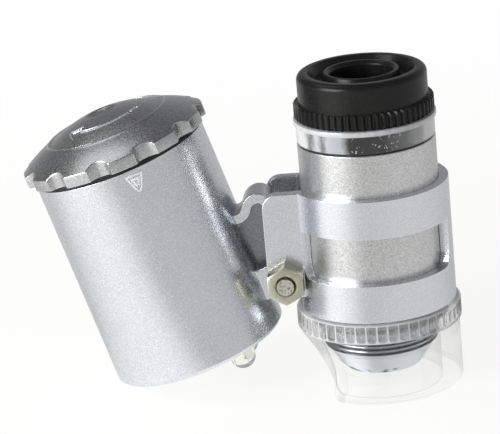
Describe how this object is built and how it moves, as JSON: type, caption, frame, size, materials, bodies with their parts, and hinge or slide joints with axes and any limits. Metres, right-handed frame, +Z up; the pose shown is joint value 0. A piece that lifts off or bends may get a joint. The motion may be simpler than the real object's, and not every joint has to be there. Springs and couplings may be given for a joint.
{
  "type": "pocket microscope",
  "caption": "Folding pocket microscope: a focusing optical tube with a clear base, hinged to a battery lamp with a twist-off scalloped cap.",
  "frame": {"origin": "on the optical axis, at the plane of the clear base's lower face, which rests on the table", "axes": "+Z up along the optical axis toward the eyepiece, +X away from the lamp, so that the lamp lies toward -X; the hinge pin lies along Y, with its nut toward -Y"},
  "size_m": [0.0498, 0.0224, 0.038],
  "materials": {
    "bracket_satin": "satin silver",
    "barrel_silver": "sparkling silver lacquer",
    "objective_chrome": "bright plated",
    "lens_glass": "polished",
    "black_plastic": "satin black",
    "bolt_steel": "plated",
    "nut_nickel": "yellowish nickel",
    "clear_plastic": "clear polished",
    "lamp_silver": "fine-grained silver lacquer",
    "faceplate_silver": "satin silver",
    "led_clear": "clear epoxy",
    "board_green": "lacquered board",
    "cell_steel": "plated can",
    "spring_steel": "plated wire",
    "gasket_rubber": "matt black",
    "cap_grey": "dark silver lacquer, cast grain",
    "contact_brass": "bright strip"
  },
  "bodies": {
    "tube": {"bracket": "bracket_satin", "barrel": "barrel_silver", "objective_mount": "objective_chrome", "objective_lens": "lens_glass", "objective_retainer": "black_plastic", "baffle_tube": "black_plastic", "hinge_bolt": "bolt_steel", "hinge_nut": "nut_nickel"},
    "focus": {"focus_tube": "clear_plastic"},
    "eyepiece": {"eyepiece_cap": "black_plastic", "eye_lens": "lens_glass", "lens_spacer": "black_plastic", "field_lens": "lens_glass", "eyepiece_retainer": "black_plastic"},
    "base": {"clear_base": "clear_plastic"},
    "lamp": {"lamp_housing": "lamp_silver", "lamp_faceplate": "faceplate_silver", "led_lights": "led_clear", "led_board": "board_green", "battery_holder": "black_plastic", "button_cells": "cell_steel", "battery_spring": "spring_steel"},
    "gasket": {"cap_gasket": "gasket_rubber"},
    "cap": {"battery_cap": "cap_grey", "cap_contact": "contact_brass"}
  },
  "joints": [
    {"name": "lamp_fold", "type": "hinge", "parent": "tube", "child": "lamp", "pos_m": [-0.0103, 0, 0.0142], "axis": [0, -1, 0], "range_deg": [-16.9, 5]},
    {"name": "focus_slide", "type": "slide", "parent": "tube", "child": "focus", "axis": [0, 0, 1], "range_m": [0, 0.004]},
    {"name": "eyepiece_turn", "type": "hinge", "parent": "focus", "child": "eyepiece", "pos_m": [0, 0, 0.036], "axis": [0, 0, 1], "range_deg": [0, 720]},
    {"name": "base_turn", "type": "hinge", "parent": "tube", "child": "base", "pos_m": [0, 0, 0.008], "axis": [0, 0, 1], "range_deg": [-90, 90]},
    {"name": "cap_lift", "type": "slide", "parent": "lamp", "child": "gasket", "axis": [-0.2907, 0, 0.9568], "range_m": [0, 0.0025]},
    {"name": "cap_turn", "type": "hinge", "parent": "gasket", "child": "cap", "pos_m": [-0.02934, 0, 0.03099], "axis": [-0.2907, 0, 0.9568], "range_deg": [0, 450]}
  ],
  "couplings": [
    {"joint": "eyepiece_turn", "follows": "focus_slide", "rad_per_m": 3141.5},
    {"joint": "cap_turn", "follows": "cap_lift", "rad_per_m": 3141.5}
  ]
}
